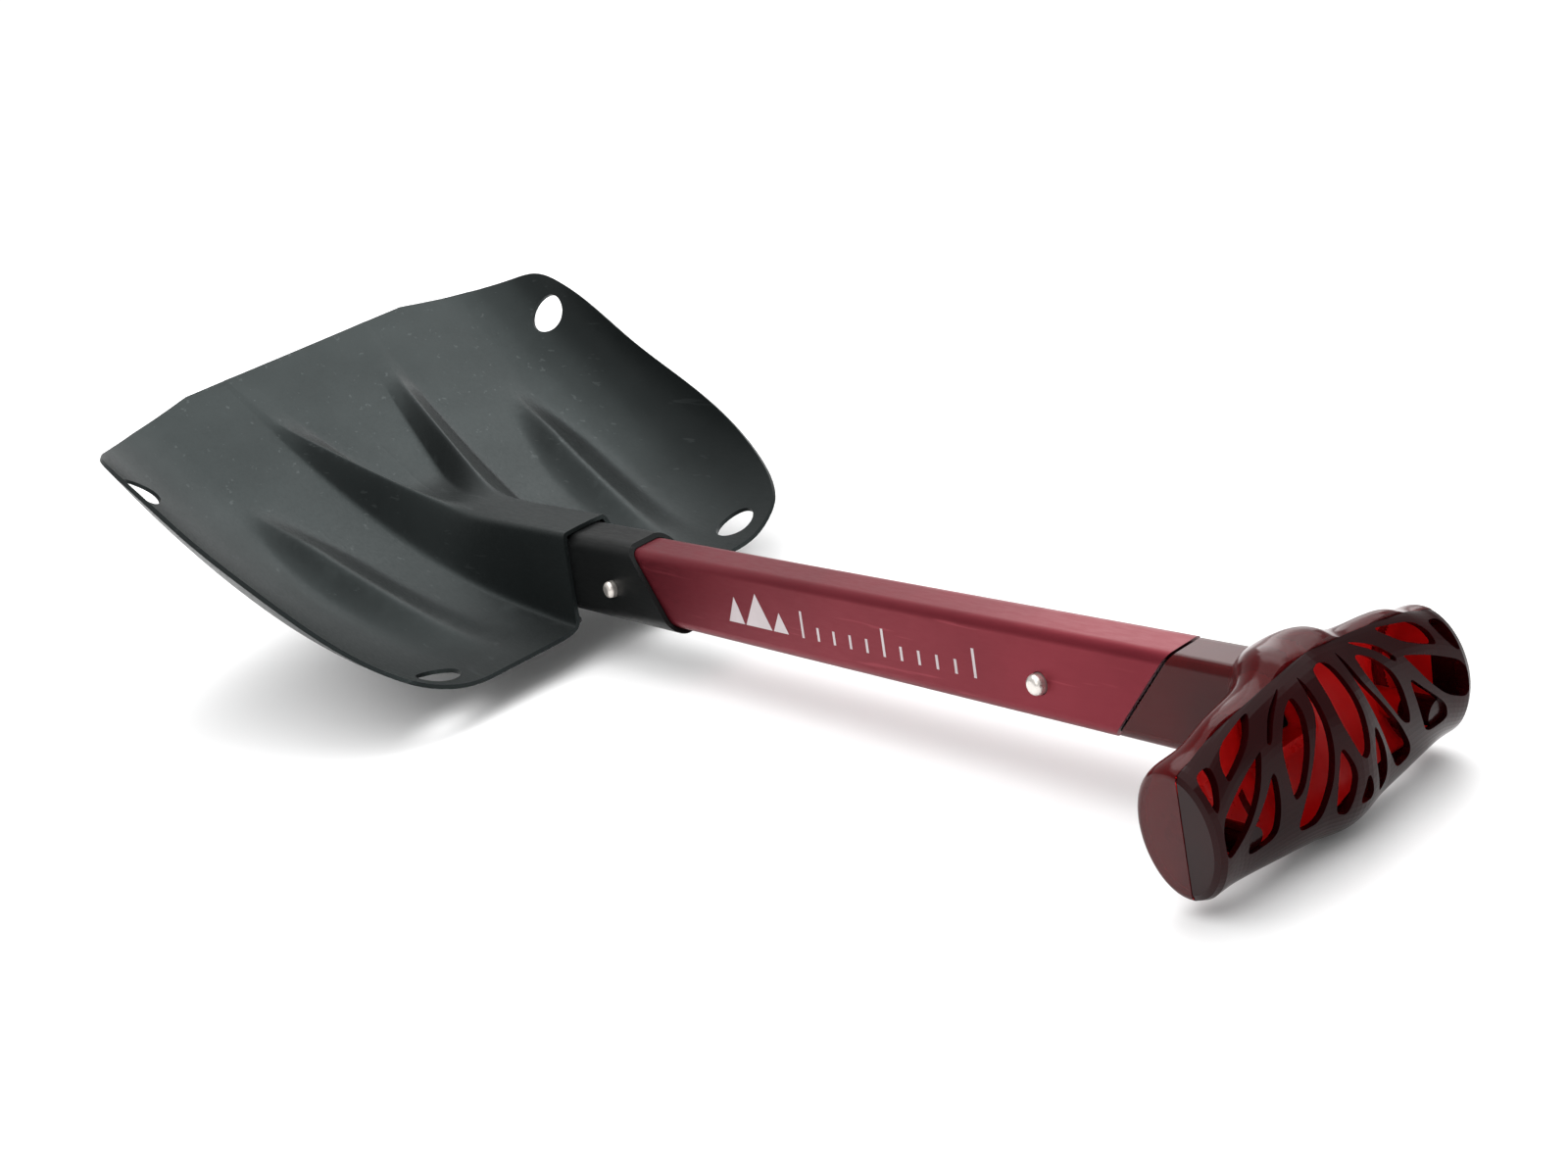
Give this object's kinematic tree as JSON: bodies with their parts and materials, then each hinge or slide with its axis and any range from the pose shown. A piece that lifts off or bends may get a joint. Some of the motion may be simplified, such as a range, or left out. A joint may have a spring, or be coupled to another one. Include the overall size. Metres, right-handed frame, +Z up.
{
  "type": "avalanche shovel",
  "caption": "Compact snow shovel: pressed metal scoop with turned-up sides and lash holes, a detachable telescoping trapezoid shaft with snap buttons, and a hollow T grip.",
  "frame": {"origin": "under the middle of the whole shovel at its lowest level, in the plane that halves the blade", "axes": "+X runs along the shaft from the blade to the grip, +Z is up out of the scoop's hollow side, +Y to the left of someone looking along the shaft towards the grip"},
  "size_m": [0.6908, 0.2516, 0.1288],
  "materials": {
    "anodised_blade": "satin dark anodised, with a fine sheen",
    "black_socket": "satin black anodised",
    "weld_metal": "rippled dark weld",
    "red_anodised_tube": "satin red anodised",
    "silver_tube": "fine brushed",
    "black_plastic": "matt moulded",
    "spring_steel": "bright rolled strip",
    "button_chrome": "polished",
    "red_grip_plastic": "glossy, slightly translucent red",
    "screw_steel": "zinc plated",
    "rivet_aluminium": "plain"
  },
  "bodies": {
    "blade_assembly": {"blade": "anodised_blade", "socket": "black_socket", "socket_weld_beads": "weld_metal"},
    "lower_shaft": {"lower_shaft_tube": "red_anodised_tube", "lower_shaft_plug": "black_plastic", "shaft_guide_bushing": "black_plastic", "socket_snap_spring": "spring_steel"},
    "socket_button": {"socket_button": "button_chrome"},
    "upper_shaft": {"upper_shaft_tube": "silver_tube", "upper_shaft_glide": "black_plastic", "stow_snap_spring": "spring_steel", "extension_snap_spring": "spring_steel", "grip_front_shell": "red_grip_plastic", "grip_palm_shell": "red_grip_plastic", "grip_screws": "screw_steel", "neck_rivets": "rivet_aluminium"},
    "stow_button": {"stow_button": "button_chrome"},
    "extension_button": {"extension_button": "button_chrome"}
  },
  "joints": [
    {"name": "shaft_release", "type": "slide", "parent": "blade_assembly", "child": "lower_shaft", "axis": [1, 0, 0], "range_m": [0, 0.12]},
    {"name": "shaft_extend", "type": "slide", "parent": "lower_shaft", "child": "upper_shaft", "axis": [1, 0, 0], "range_m": [0, 0.194]},
    {"name": "socket_button_press", "type": "slide", "parent": "lower_shaft", "child": "socket_button", "axis": [0, 0.9818, -0.1898], "range_m": [0, 0.0058], "stiffness_N_per_m": 1500, "springref_m": -0.002, "deforming": ["socket_snap_spring", "socket_button"]},
    {"name": "stow_button_press", "type": "slide", "parent": "upper_shaft", "child": "stow_button", "axis": [0, 0.9818, -0.1898], "range_m": [0, 0.006], "stiffness_N_per_m": 1500, "springref_m": -0.002, "deforming": ["stow_snap_spring", "stow_button"]},
    {"name": "extension_button_press", "type": "slide", "parent": "upper_shaft", "child": "extension_button", "axis": [0, -0.9818, 0.1898], "range_m": [0, 0.0055], "stiffness_N_per_m": 1500, "deforming": ["extension_snap_spring", "extension_button"]}
  ]
}
